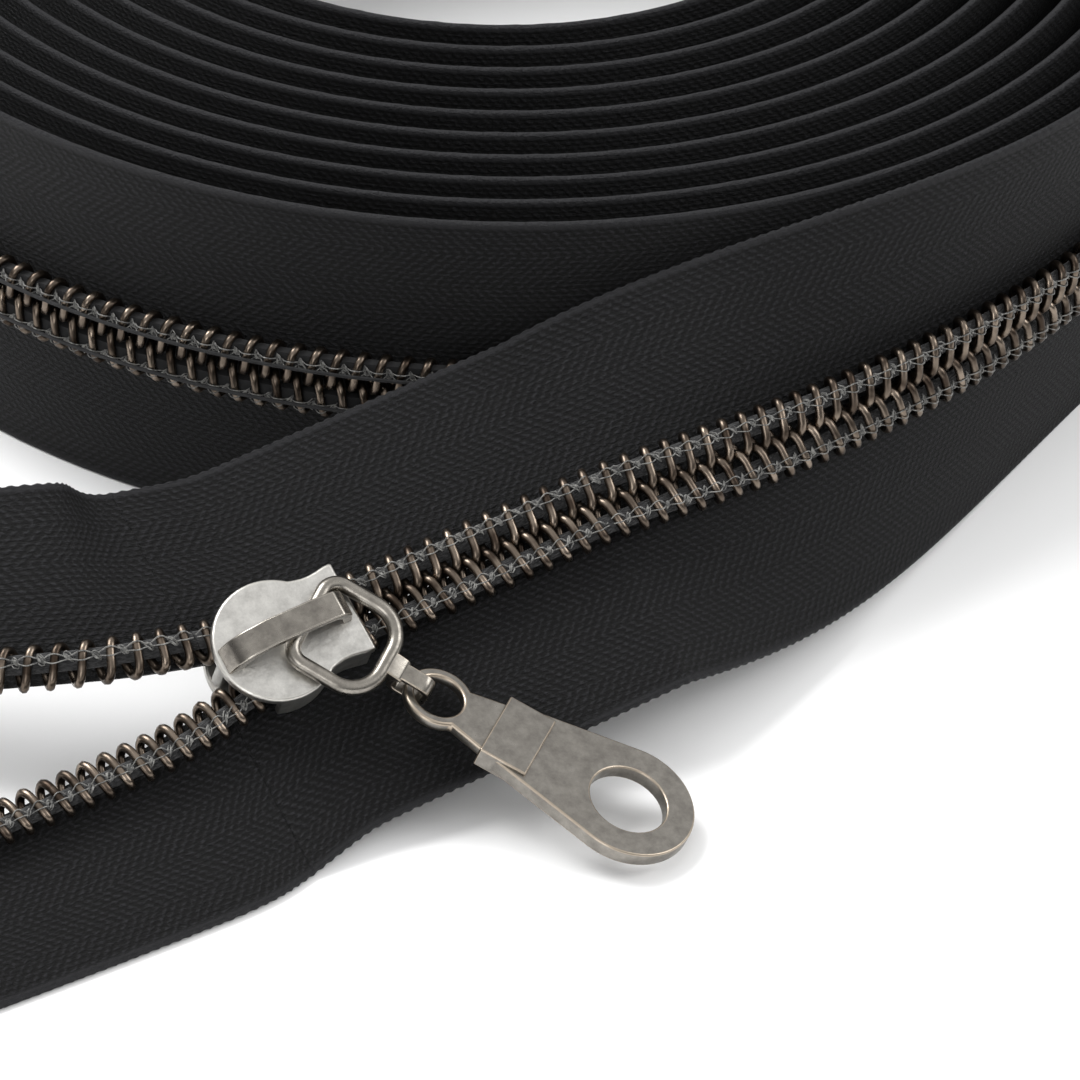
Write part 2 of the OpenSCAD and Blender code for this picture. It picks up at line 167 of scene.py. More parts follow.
RUN_DIR = Vector((math.cos(RUN_RISE), 0, math.sin(RUN_RISE)))
across = place_on(Vector(), RUN_DIR, RUN_TILT)[2]
run_up = float(GROUND_GAP - MOUTH_U * RUN_DIR.z + (HALF_WIDE + spread(MOUTH_U)) * across.z)
RUN_AT = Vector((-37.1, -50.5, run_up))


def run_place(u):
    return place_on(RUN_AT + float(u) * RUN_DIR, RUN_DIR, RUN_TILT)


RUN_END = RUN_AT + RUN_LONG * RUN_DIR
LEAD_LONG = LEAD_R * LEAD_TURN
LEAD_DROP = RUN_END.z - HALF_WIDE * math.sin(RUN_TILT)
LEAD_LIFT = HALF_WIDE * math.cos(RUN_TILT) * (math.pi / 2 - RUN_TILT) * math.pi / 2
LEAD_EASE = LEAD_LONG * math.tan(RUN_RISE) - LEAD_LIFT + 3 * LEAD_DROP


def lead_tilt(k):
    return RUN_TILT + (math.pi / 2 - RUN_TILT) * math.sin(math.pi / 2 * k)


def lead_point(k):
    a = LEAD_TURN * k
    rise = HALF_WIDE * math.sin(lead_tilt(k)) + LEAD_DROP * (1 - k) ** 3 + LEAD_EASE * k * (1 - k) ** 8
    return Vector((RUN_END.x + LEAD_R * math.sin(a), RUN_END.y + LEAD_R * (1 - math.cos(a)), rise))


def lead_place(k):
    step = 0.001
    if k <= 0:
        return place_on(RUN_END, RUN_DIR, RUN_TILT)
    if k >= 1:
        return place_on(lead_point(1), Vector((math.cos(LEAD_TURN), math.sin(LEAD_TURN), 0)), math.pi / 2)
    return place_on(lead_point(k), lead_point(k + step) - lead_point(k - step), lead_tilt(k))


ROLL_MIDDLE = lead_point(1) + ROLL_R * Vector((-math.sin(LEAD_TURN), math.cos(LEAD_TURN), 0))
ROLL_MIDDLE.z = HALF_WIDE
ROLL_OUT = Vector((math.sin(LEAD_TURN), -math.cos(LEAD_TURN), 0))


def lap_ends():
    """The length along the roll at which each half lap ends."""
    ends = [0.0]
    for i in range(HALF_LAPS):
        ends.append(ends[-1] + math.pi * (ROLL_R - i * LAP / 2))
    return ends


LAP_ENDS = lap_ends()
ROLL_LONG = LAP_ENDS[-1]


def roll_place(s):
    """A place on the roll, s mm along it from its outer end, which is where the lead meets shaded_tree."""
    i = min(int(np.searchsorted(LAP_ENDS, s, side="right")) - 1, HALF_LAPS - 1)
    radius = ROLL_R - i * LAP / 2
    middle = ROLL_MIDDLE - ROLL_OUT * (LAP / 2 * (i % 2))
    turn = LEAD_TURN - math.pi / 2 + math.pi * (i % 2) + (s - LAP_ENDS[i]) / radius
    out = Vector((math.cos(turn), math.sin(turn), 0))
    return middle + radius * out, Vector((-out.y, out.x, 0)), Vector((0, 0, 1)), out


def smooth(k):
    c = min(1.0, max(0.0, k))
    return c * c * (3 - 2 * c)


def bend(x, a, b):
    return a * x + (b - a) * (x * x / (2 * BEND_LONG) if x < BEND_LONG else x - BEND_LONG / 2)


def open_point(x, side):
    slope = UPPER_SLOPE if side > 0 else LOWER_SLOPE
    p, t, w, n = run_place(MOUTH_U - x)
    off = float(TURN_V + spread(MOUTH_U) + bend(x, SPREAD_SLOPE, slope[0]))
    return p + side * off * w + bend(x, 0, slope[1]) * n


def open_place(x, side):
    """A place on an open end, x mm past the slider's mouth. The lower tape's selvedge is on the ground."""
    k, step = smooth(x / TILT_LONG), 0.01
    path = (open_point(x - step, side) - open_point(x + step, side)).normalized()
    along = (k * path + (1 - k) * RUN_DIR).normalized()
    tilt = RUN_TILT + (UPPER_TILT - RUN_TILT) * k
    if side < 0:
        rise = (open_point(x, side).z - GROUND_GAP) / (HALF_WIDE - TURN_V)
        tilt = math.asin(rise / math.hypot(1 - along.z ** 2, rise * along.z))
    p, t, w, n = place_on(open_point(x, side), along, tilt)
    return p - side * TURN_V * w, t, w, n


def table(places):
    """Places along a stretch as one array: position, along, across and out for each."""
    return np.array([[list(v) for v in place] for place in places])


# Each stretch has its own u, in mm, at which its table of places is filled in.
RUN_US = np.linspace(MOUTH_U, RUN_LONG, 120)
LEAD_US = np.linspace(0, LEAD_LONG, 140)
ROLL_US = np.linspace(0, ROLL_LONG, 3200)
OPEN_US = np.linspace(-OPEN_LONG, -JOINT_GAP, 110)
ROUTES = {
    "run": (RUN_US, {s: table([run_place(float(u)) for u in RUN_US]) for s in (1, -1)}),
    "lead": (LEAD_US, {s: table([lead_place(float(u) / LEAD_LONG) for u in LEAD_US]) for s in (1, -1)}),
    "roll": (ROLL_US, {s: table([roll_place(float(u)) for u in ROLL_US]) for s in (1, -1)}),
    "open": (OPEN_US, {s: table([open_place(-float(u), s) for u in OPEN_US]) for s in (1, -1)}),
}
# Where each stretch's u = 0 lies along the whole zipper, so that weave and turns carry on past each joint
STARTS = {"open": MOUTH_U, "run": 0.0, "lead": RUN_LONG, "roll": RUN_LONG + LEAD_LONG}
BODY = {"run": "root", "lead": "root", "roll": "root"}
SIDES = {"upper": 1, "lower": -1}


def lay(points, stretch, side):
    """Points of a straight, flat zipper, as (u, v, n) in mm, laid on a stretch's route, in metres."""
    us, tables = ROUTES[stretch]
    u, v, n = np.asarray(points, float).T
    rows = tables[side].reshape(len(us), 12)
    at = np.stack([np.interp(u, us, rows[:, k]) for k in range(12)], axis=1)
    if stretch == "run":
        v = v + side * spread(u)
    # Past the table's ends the last place carries straight on
    over = u - np.clip(u, us[0], us[-1])
    return (at[:, :3] + over[:, None] * at[:, 3:6] + v[:, None] * at[:, 6:9] + n[:, None] * at[:, 9:]) * MM


def laid_mesh(bm, name, stretch, side, material):
    """A bmesh of the straight zipper as a piece on its stretch. Its UV map keeps u and v, in mm."""
    bmesh.ops.recalc_face_normals(bm, faces=bm.faces)
    mesh = bpy.data.meshes.new(name)
    bm.to_mesh(mesh)
    bm.free()
    straight = np.empty(len(mesh.vertices) * 3)
    mesh.vertices.foreach_get("co", straight)
    straight = straight.reshape(-1, 3)
    corner = np.empty(len(mesh.loops), np.int32)
    mesh.loops.foreach_get("vertex_index", corner)
    uv = mesh.uv_layers.new(name="straight")
    uv.data.foreach_set("uv", (straight[corner, :2] + (STARTS[stretch], 0)).astype(np.float32).ravel())
    mesh.vertices.foreach_set("co", lay(straight, stretch, side).astype(np.float32).ravel())
    mesh.polygons.foreach_set("use_smooth", [True] * len(mesh.polygons))
    mesh.set_sharp_from_angle(angle=math.radians(55))
    mesh.update()
    piece = bpy.data.objects.new(name, mesh)
    bpy.context.scene.collection.objects.link(piece)
    mesh.materials.append(material)
    return piece


def fasten(piece, stretch, side_name, *nodes):
    """The piece stands for its CAD nodes, which it hides. On the run it stays fixed where it is laid;
    elsewhere it is attached to its body.
    """
    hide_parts(*nodes)
    if stretch == "run":
        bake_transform(piece)
    else:
        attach(piece, BODY.get(stretch, side_name + "_stringer"))


# Woven polyester: fine matt threads in slanting ribs that turn back every 2.9 mm, as chevrons.
# Ribs are 0.8 mm apart and weft threads 0.42 mm, and loose floats of thread stand up as dashes, painted
# lighter as a painted highlight where they catch the light.
CHEVRON, RIB, WEFT = 2.9, 0.8, 0.42
FLOATS_PER_MM = (3.4, 7.5, 1)
RIB_TALL, WEFT_TALL, FLOAT_TALL = 0.42, 0.35, 3.6


def ridges(tree, value, every, tall):
    """Rounded ridges of a height, one for each length of the value."""
    angle = add(tree, "Math", {0: value, 1: 2 * math.pi / every}, operation="MULTIPLY").outputs[0]
    wave = add(tree, "Math", {0: angle}, operation="SINE").outputs[0]
    return add(tree, "Math", {0: wave, 1: tall}, operation="MULTIPLY").outputs[0]


cloth, cloth_tree, cloth_shader = finish_of("woven_polyester_tape", Roughness=0.62,
                                            Specular_IOR_Level=0.22)
flat_place = add(cloth_tree, "UVMap", uv_map="straight").outputs["UV"]
along, over = add(cloth_tree, "SeparateXYZ", {"Vector": flat_place}).outputs[:2]
folded = add(cloth_tree, "Math", {0: over, 1: CHEVRON}, operation="PINGPONG").outputs[0]
slant = add(cloth_tree, "Math", {0: along, 1: folded}, operation="ADD").outputs[0]
weave = add(cloth_tree, "Math", {0: ridges(cloth_tree, slant, RIB, RIB_TALL),
                                 1: ridges(cloth_tree, over, WEFT, WEFT_TALL)},
            operation="ADD").outputs[0]
stretched = add(cloth_tree, "Mapping", {"Vector": flat_place, "Scale": FLOATS_PER_MM}).outputs["Vector"]
floats = add(cloth_tree, "TexNoise", {"Vector": stretched, "Scale": 1.0, "Detail": 4.0, "Roughness": 0.65},
             noise_dimensions="2D").outputs["Fac"]
height = add(cloth_tree, "Math", {0: floats, 1: FLOAT_TALL, 2: weave}, operation="MULTIPLY_ADD").outputs[0]
# The colour runs from black to a lighter grey on the raised ribs and floats: a painted highlight on the
# weave.
raised = add(cloth_tree, "MapRange", {"Value": height, "From Min": 1.7, "From Max": 3.0}).outputs["Result"]
woven = add(cloth_tree, "Mix", {"Factor": raised}, data_type="RGBA")
woven.inputs[6].default_value = linear("#030303")
woven.inputs[7].default_value = linear("#2a2a2d")
# A lighter grey band along the selvedge is a painted highlight, where its cord and beads catch the light.
from_middle = add(cloth_tree, "Math", {0: over}, operation="ABSOLUTE").outputs[0]
selvedge_highlight_mask = add(cloth_tree, "MapRange", {"Value": from_middle, "From Min": HALF_WIDE - 0.75,
                                           "From Max": HALF_WIDE - 0.35}).outputs["Result"]
corded = add(cloth_tree, "Mix", {"Factor": selvedge_highlight_mask}, data_type="RGBA")
cloth_tree.links.new(woven.outputs[2], corded.inputs[6])
corded.inputs[7].default_value = linear("#252527")
cloth_tree.links.new(corded.outputs[2], cloth_shader.inputs["Base Color"])
relief = add(cloth_tree, "Bump", {"Height": height, "Distance": 0.1 * MM, "Strength": 0.9})
cloth_tree.links.new(relief.outputs["Normal"], cloth_shader.inputs["Normal"])

# The selvedge is a cord along each outer edge, with a bead every 0.85 mm where a weft thread turns back
BEAD_STEP, BEAD_DEEP, SELVEDGE, INNER_EDGE = 0.85, 0.12, 0.7, 0.07
WOVEN_SHARE, CORD_SWELL, BEAD_SWELL, RIM_SHARE = 0.8, 0.18, 0.12, 0.25
# Shares of the width at which the grid has its lines, close together at the selvedge
ACROSS = (0.0, 0.1, 0.25, 0.45, 0.65, 0.8, 0.9, 0.945, 0.96, 0.975, 0.988, 1.0)
CELL = {"run": 0.2, "lead": 0.25, "open": 0.2, "roll": 1.2}


def tape_piece(stretch, side_name):
    """A flat woven band, made as a grid, given its thickness and its corded edge, and laid on its route."""
    side, us, wide = SIDES[side_name], ROUTES[stretch][0], HALF_WIDE - INNER_EDGE
    long = us[-1] - us[0]
    bm = bmesh.new()
    bmesh.ops.create_grid(bm, x_segments=round(long / CELL[stretch]), y_segments=len(ACROSS) - 1, size=0.5)
    for vert in bm.verts:
        k = ACROSS[round((vert.co.y + 0.5) * (len(ACROSS) - 1))]
        vert.co = (us[0] + (vert.co.x + 0.5) * long, side * (INNER_EDGE + k * wide), 0)
    copied = bmesh.ops.duplicate(bm, geom=bm.verts[:] + bm.edges[:] + bm.faces[:])["geom"]
    underside = {v for v in copied if isinstance(v, bmesh.types.BMVert)}
    rims = [e for e in bm.edges if e.is_boundary]
    for vert in bm.verts:
        from_edge = HALF_WIDE - abs(vert.co.y)
        bead = 0.5 + 0.5 * math.cos(2 * math.pi * (vert.co.x + STARTS[stretch]) / BEAD_STEP)
        cord = max(0.0, 1 - abs(from_edge / (SELVEDGE / 2) - 1))
        half = TAPE_THICK / 2 * (WOVEN_SHARE + cord * (CORD_SWELL + BEAD_SWELL * bead))
        if from_edge < 0.01:
            half *= RIM_SHARE
            vert.co.y -= side * BEAD_DEEP * (1 - bead)
        vert.co.z = -half if vert in underside else half
    bmesh.ops.bridge_loops(bm, edges=rims)
    piece = laid_mesh(bm, f"tape_{side_name}_{stretch}_cloth", stretch, side, cloth)
    fasten(piece, stretch, side_name, f"tape_{side_name}_{stretch}")


for side_name in SIDES:
    for stretch in CELL:
        tape_piece(stretch, side_name)

# The coils: plated polyester monofilament, 0.66 mm thick, wound flat around a filler cord.
# Its turns lean, its heads pass the middle of the chain, and it is sewn down at every turn.
PITCH, WIRE, COIL_HIGH, CHAIN_WIDE, OVERLAP = 1.6, 0.66, 2.1, 6.0, 0.45
COIL_LOW = TAPE_THICK / 2 + 0.02
COIL_MID = COIL_LOW + COIL_HIGH / 2
COIL_TOP = COIL_LOW + COIL_HIGH
TURN_A = (CHAIN_WIDE / 2 + OVERLAP - WIRE) / 2
TURN_B = (COIL_HIGH - WIRE) / 2
TURN_POWER, HEAD_SWELL = 0.7, 0.1

# Gunmetal plate on moulded filament: dark warm grey metal, smooth, with brown and bright patches.
gunmetal, coil_tree, gun_shader = finish_of("gunmetal_plated_filament", Metallic=1.0)
place = add(coil_tree, "TexCoord").outputs["Object"]
patches = add(coil_tree, "TexNoise", {"Vector": place, "Scale": 520.0, "Detail": 3.0}).outputs["Fac"]
tone = add(coil_tree, "ValToRGB", {"Fac": patches})
tone.color_ramp.elements[0].position, tone.color_ramp.elements[0].color = 0.36, linear("#3b322b")
tone.color_ramp.elements[1].position, tone.color_ramp.elements[1].color = 0.66, linear("#82766a")
coil_tree.links.new(tone.outputs["Color"], gun_shader.inputs["Base Color"])
gloss = add(coil_tree, "MapRange", {"Value": patches, "From Min": 0.35, "From Max": 0.7,
                                    "To Min": 0.36, "To Max": 0.24}).outputs["Result"]
coil_tree.links.new(gloss, gun_shader.inputs["Roughness"])


def wire_mesh(name, paths, thickness, rounds):
    """Curves with a round section, as one mesh in mm. Each path is (points, radii or None, closed)."""
    curve = bpy.data.curves.new(name, "CURVE")
    curve.dimensions, curve.bevel_depth, curve.bevel_resolution = "3D", thickness / 2, rounds
    curve.use_fill_caps = True
    for points, radii, closed in paths:
        spline = curve.splines.new("POLY")
        spline.points.add(len(points) - 1)
        spline.points.foreach_set("co", np.column_stack([points, np.ones(len(points))]).ravel())
        if radii is not None:
            spline.points.foreach_set("radius", radii)
        spline.use_cyclic_u = closed
    holder = bpy.data.objects.new(name, curve)
    bpy.context.scene.collection.objects.link(holder)
    bpy.context.view_layer.update()
    mesh = bpy.data.meshes.new_from_object(holder)
    bpy.data.objects.remove(holder)
    bpy.data.curves.remove(curve)
    return mesh


def wire_piece(name, paths, thickness, rounds, material):
    """Wires already laid out in metres, as one smooth piece."""
    mesh = wire_mesh(name, paths, thickness, rounds)
    mesh.materials.clear()
    mesh.materials.append(material)
    mesh.polygons.foreach_set("use_smooth", [True] * len(mesh.polygons))
    piece = bpy.data.objects.new(name, mesh)
    bpy.context.scene.collection.objects.link(piece)
    return piece


def turn_at(stretch, side, u):
    """How far round its turn a coil's wire is at u, in turns. The sides are half a pitch apart."""
    first = MOUTH_U + WIRE / 2 + (0 if side > 0 else PITCH / 2)
    return (STARTS[stretch] + u - first) / PITCH % 1


def squarer(c):
    """A sine or cosine raised so that a turn is nearer to a flat oval with square ends."""
    return np.sign(c) * np.abs(c) ** TURN_POWER


def turns(stretch, side, start, end, steps):
    """Points along a coil's wire on a stretch, from u = start to end, and their thicknesses."""
    first = turn_at(stretch, side, start)
    whole = (end - start) / PITCH * steps
    i = np.linspace(0, whole, math.ceil(whole) + 1)
    u = start + i * PITCH / steps
    a = 2 * math.pi * (i / steps + first)
    v = side * (TURN_V - TURN_A * squarer(np.cos(a)))
    n = COIL_MID + TURN_B * squarer(np.sin(a))
    head = np.clip(np.cos(a), 0, 1) ** 3
    return lay(np.column_stack([u, v, n]), stretch, side), 1 + HEAD_SWELL * head


STEPS_PER_TURN = {"run": 20, "open": 20, "lead": 16}
OUTER_STEPS, INNER_STEPS = 12, 8
OUTER_END = LAP_ENDS[3]
for side_name, side in SIDES.items():
    for stretch, steps in STEPS_PER_TURN.items():
        us = ROUTES[stretch][0]
        # The wire runs on from stretch to stretch, and is cut short only at the zipper's own ends
        start, end = (us[0] + WIRE, 0) if stretch == "open" else (us[0], us[-1])
        path, radii = turns(stretch, side, start, end, steps)
        coil = wire_piece(f"coil_{side_name}_{stretch}_wire", [(path, radii, False)], WIRE * MM, 2, gunmetal)
        fasten(coil, stretch, side_name, f"coil_{side_name}_{stretch}")
    # The roll's outer lap and a half shows its turns closely, and the laps inside it only from above
    outer, radii = turns("roll", side, 0, OUTER_END, OUTER_STEPS)
    coil = wire_piece(f"coil_{side_name}_roll_outer", [(outer, radii, False)], WIRE * MM, 1, gunmetal)
    fasten(coil, "roll", side_name, f"coil_{side_name}_roll")
    inner, _ = turns("roll", side, OUTER_END, ROLL_LONG - WIRE, INNER_STEPS)
    coil = wire_piece(f"coil_{side_name}_roll_inner", [(inner, None, False)], WIRE * MM, 0, gunmetal)
    fasten(coil, "roll", side_name)

# The filler cords: a soft grey cord lies inside each coil, and the sewing thread goes through it.
# Spun polyester, matt, with its plies twisted.
FILLER_V, FILLER_WIDE, FILLER_HIGH = 1.58, 1.44, 0.68
spun, spun_tree, spun_shader = finish_of("spun_polyester_cord", Roughness=0.9, Sheen_Weight=0.3)
PLY_TWIST, PLIES_PER_MM = 0.6, (1.6, 6.0, 1)
spun_place = add(spun_tree, "UVMap", uv_map="straight").outputs["UV"]
twisted = add(spun_tree, "Mapping", {"Vector": spun_place, "Rotation": (0, 0, PLY_TWIST),
                                     "Scale": PLIES_PER_MM}).outputs["Vector"]
ply = add(spun_tree, "TexNoise", {"Vector": twisted, "Scale": 1.6, "Detail": 4.0},
          noise_dimensions="2D").outputs["Fac"]
spun_tone = add(spun_tree, "ValToRGB", {"Fac": ply})
spun_tone.color_ramp.elements[0].position, spun_tone.color_ramp.elements[0].color = 0.38, linear("#0e0e0f")
spun_tone.color_ramp.elements[1].position, spun_tone.color_ramp.elements[1].color = 0.66, linear("#343435")
spun_tree.links.new(spun_tone.outputs["Color"], spun_shader.inputs["Base Color"])
spun_bump = add(spun_tree, "Bump", {"Height": ply, "Distance": 0.0001, "Strength": 1.0})
spun_tree.links.new(spun_bump.outputs["Normal"], spun_shader.inputs["Normal"])

for side_name, side in SIDES.items():
    for stretch in ("run", "lead", "open"):
        us = ROUTES[stretch][0]
        bm = bmesh.new()
        bmesh.ops.create_grid(bm, x_segments=round((us[-1] - us[0]) / 0.5), y_segments=10, size=0.5)
        for vert in bm.verts:
            turn = 2 * math.pi * vert.co.y
            vert.co = (us[0] + (vert.co.x + 0.5) * (us[-1] - us[0]),
                       side * (FILLER_V + FILLER_WIDE / 2 * math.cos(turn)),
                       COIL_MID + FILLER_HIGH / 2 * math.sin(turn))
        bmesh.ops.remove_doubles(bm, verts=bm.verts, dist=0.001)
        filler = laid_mesh(bm, f"filler_{side_name}_{stretch}_cord", stretch, side, spun)
        fasten(filler, stretch, side_name, f"filler_{side_name}_{stretch}")

# The sewing threads: fine grey polyester, in two strands that cross each turn and pull down between.
# A turn's top lies 0.283 of a pitch past the point where the turn begins.
TURN_TOP, FIRST_STITCH = 0.283, 0.4
THREAD_THICK, THREAD_V, THREAD_APART, THREAD_DIP = 0.1, 1.75, 0.34, 0.62
KNOT_LOOPS, KNOT_SIZE = 3, (0.26, 0.34, 0.2)
sewn, sewn_tree, sewn_shader = finish_of("sewing_thread_polyester", Roughness=0.75, Sheen_Weight=0.3)
sewn_place = add(sewn_tree, "TexCoord").outputs["Object"]
fuzz = add(sewn_tree, "TexNoise", {"Vector": sewn_place, "Scale": 3500.0, "Detail": 3.0}).outputs["Fac"]
sewn_tone = add(sewn_tree, "ValToRGB", {"Fac": fuzz})
sewn_tone.color_ramp.elements[0].position, sewn_tone.color_ramp.elements[0].color = 0.35, linear("#3a3a39")
sewn_tone.color_ramp.elements[1].position, sewn_tone.color_ramp.elements[1].color = 0.65, linear("#858480")
sewn_tree.links.new(sewn_tone.outputs["Color"], sewn_shader.inputs["Base Color"])
loose = np.random.default_rng(7)


def stitches(stretch, side, start, end, steps):
    """Two strands along a coil from u = start to end, crossing over each turn's top."""
    over_turn = start + (TURN_TOP - turn_at(stretch, side, start)) * PITCH
    u = np.arange(start, end, PITCH / steps)
    k = (u - over_turn) / PITCH
    down = np.sin(math.pi * k) ** 2
    strands = []
    for lean in (-1, 1):
        v = side * (THREAD_V + lean * THREAD_APART * np.cos(math.pi * k) ** 2 + 0.1 * lean * down)
        n = COIL_TOP + THREAD_THICK / 2 - THREAD_DIP * down ** 1.4
        strands.append((lay(np.column_stack([u, v, n]), stretch, side), None, False))
    # Small loose loops stand up between the turns, where the needle went down
    a = np.linspace(0, 2 * math.pi, 8)[:-1]
    for gap in np.arange(over_turn + PITCH / 2, end - FIRST_STITCH, PITCH):
        for _ in range(KNOT_LOOPS if gap > start + FIRST_STITCH else 0):
            lean, size = loose.uniform(0, math.pi), loose.uniform(0.6, 1.1)
            loop_u = gap + size * KNOT_SIZE[0] * np.cos(a + lean)
            loop_v = side * (THREAD_V + loose.uniform(-0.15, 0.15) + size * KNOT_SIZE[1] * np.sin(a))
            loop_n = COIL_TOP - 0.5 + size * KNOT_SIZE[2] * np.sin(2 * a + lean)
            strands.append((lay(np.column_stack([loop_u, loop_v, loop_n]), stretch, side), None, True))
    return strands


for side_name, side in SIDES.items():
    for stretch in ("run", "lead", "open", "roll"):
        us = ROUTES[stretch][0]
        end = LAP_ENDS[2] if stretch == "roll" else us[-1] - 0.1
        strands = stitches(stretch, side, us[0] + 0.1, end, 10)
        thread = wire_piece(f"thread_{side_name}_{stretch}_strands", strands, THREAD_THICK * MM, 0, sewn)
        fasten(thread, stretch, side_name, *([] if stretch == "roll" else [f"thread_{side_name}_{stretch}"]))

# Deep in the roll the cord and the thread lie in shadow between the laps, and keep their plain shapes.
# A grey polyester with a fleck of its plies, painted darker than the thread outside the roll as painted
# shade between the laps.
inner_painted_shade, shaded_tree, inner_shader = finish_of("polyester_cord_painted_shade", Roughness=0.9)
shaded_place = add(shaded_tree, "TexCoord").outputs["Object"]
flecks = add(shaded_tree, "TexNoise", {"Vector": shaded_place, "Scale": 1500.0,
                                       "Detail": 3.0}).outputs["Fac"]
fleck_and_painted_shade_tone = add(shaded_tree, "ValToRGB", {"Fac": flecks})
fleck_and_painted_shade_tone.color_ramp.elements[0].color = linear("#0e0e0f")
fleck_and_painted_shade_tone.color_ramp.elements[1].color = linear("#2e2e2f")
shaded_tree.links.new(fleck_and_painted_shade_tone.outputs["Color"], inner_shader.inputs["Base Color"])
for side_name in SIDES:
    for kind in ("thread", "filler"):
        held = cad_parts[f"{kind}_{side_name}_roll"]
        held.data.materials.clear()
        held.data.materials.append(inner_painted_shade)

# The slider's body: one zinc casting, two plates joined by a diamond and side walls, plated and tumbled.
# Its plates are round at the mouth, narrow at a waist, and end square at the tail, with rounded rims.
SLIP, THREAD_ROOM, PLATE_THICK = 0.17, 0.2, 0.85
PLATE_N, BASE_N, SLOT_N = COIL_TOP + THREAD_ROOM + SLIP, -TAPE_THICK / 2 - SLIP, TAPE_THICK / 2 + SLIP
SHOULDER_R, TAIL_WIDE = 4.6, 7.2
TAIL = PLATE_LONG / 2


run_p, run_t, run_w, run_n = run_place(SLIDER_U)
ON_SLIDER = Matrix.Translation(run_p) @ Matrix((run_t, run_w, run_n)).transposed().to_4x4()


def slab(loops, low, high, rim, segments=2):
    """A flat plate with rounded rims, from its outline and the outlines of its holes."""
    bm = bmesh.new()
    worn = bm.faces.layers.float.new("worn")
    for loop in loops:
        verts = [bm.verts.new((x, y, low)) for x, y in loop]
        for a, b in zip(verts, verts[1:] + verts[:1]):
            bm.edges.new((a, b))
    bmesh.ops.triangle_fill(bm, edges=bm.edges[:], use_beauty=True)
    raised = bmesh.ops.extrude_face_region(bm, geom=bm.faces[:])
    bmesh.ops.translate(bm, vec=(0, 0, high - low),
                        verts=[v for v in raised["geom"] if isinstance(v, bmesh.types.BMVert)])
    bmesh.ops.recalc_face_normals(bm, faces=bm.faces)
    bmesh.ops.dissolve_limit(bm, angle_limit=0.005, verts=bm.verts[:], edges=bm.edges[:])
    corners = [e for e in bm.edges if len(e.link_faces) == 2 and e.calc_face_angle() > 0.6]
    cut = bmesh.ops.bevel(bm, geom=corners, offset=rim, segments=segments, profile=0.5, affect="EDGES",
                          material=-1, clamp_overlap=True)
    for face in cut["faces"]:
        face[worn] = 1.0
    return bm


def joined(name, parts, material):
    """Slabs and wires, each with the matrix that places it (in mm), as one piece."""
    whole = bmesh.new()
    whole.faces.layers.float.new("worn")
    for part, matrix in parts:
        mesh = part
        if isinstance(part, bmesh.types.BMesh):
            mesh = bpy.data.meshes.new(name)
            part.to_mesh(mesh)
            part.free()
        mesh.transform(matrix)
        whole.from_mesh(mesh)
        bpy.data.meshes.remove(mesh)
    bmesh.ops.scale(whole, vec=(MM, MM, MM), verts=whole.verts)
    mesh = bpy.data.meshes.new(name)
    whole.to_mesh(mesh)
    whole.free()
    mesh.polygons.foreach_set("use_smooth", [True] * len(mesh.polygons))
    mesh.set_sharp_from_angle(angle=math.radians(50))
    mesh.materials.append(material)
    piece = bpy.data.objects.new(name, mesh)
    bpy.context.scene.collection.objects.link(piece)
    normals = piece.modifiers.new("even_normals", "WEIGHTED_NORMAL")
    normals.keep_sharp = True
    return piece


def plated(name, dark, light, worn_tone, rough, grain):
    """An antiqued plated metal: mottled tone, fine grain, and edges rubbed bright."""
    material, tree, shader = finish_of(name, Metallic=1.0)
    at = add(tree, "TexCoord").outputs["Object"]
    broad = add(tree, "TexNoise", {"Vector": at, "Scale": 900.0, "Detail": 6.0,
                                   "Roughness": 0.7}).outputs["Fac"]
    tones = add(tree, "ValToRGB", {"Fac": broad})
    tones.color_ramp.elements[0].position, tones.color_ramp.elements[0].color = 0.28, linear(dark)
    tones.color_ramp.elements[1].position, tones.color_ramp.elements[1].color = 0.72, linear(light)
    rubbed = add(tree, "Math", {0: add(tree, "Attribute", attribute_name="worn").outputs["Fac"], 1: 0.5},
                 operation="MULTIPLY").outputs[0]
    mixed = add(tree, "Mix", {"Factor": rubbed}, data_type="RGBA")
    tree.links.new(tones.outputs["Color"], mixed.inputs[6])
    mixed.inputs[7].default_value = linear(worn_tone)
    tree.links.new(mixed.outputs[2], shader.inputs["Base Color"])
    fine = add(tree, "TexNoise", {"Vector": at, "Scale": 3200.0, "Detail": 3.0}).outputs["Fac"]
    gloss = add(tree, "MapRange", {"Value": broad, "From Min": 0.3, "From Max": 0.7,
                                   "To Min": rough + 0.06, "To Max": rough - 0.06}).outputs["Result"]
    tree.links.new(gloss, shader.inputs["Roughness"])
    bumped = add(tree, "Bump", {"Height": fine, "Distance": grain, "Strength": 0.6})
    tree.links.new(bumped.outputs["Normal"], shader.inputs["Normal"])
    return material


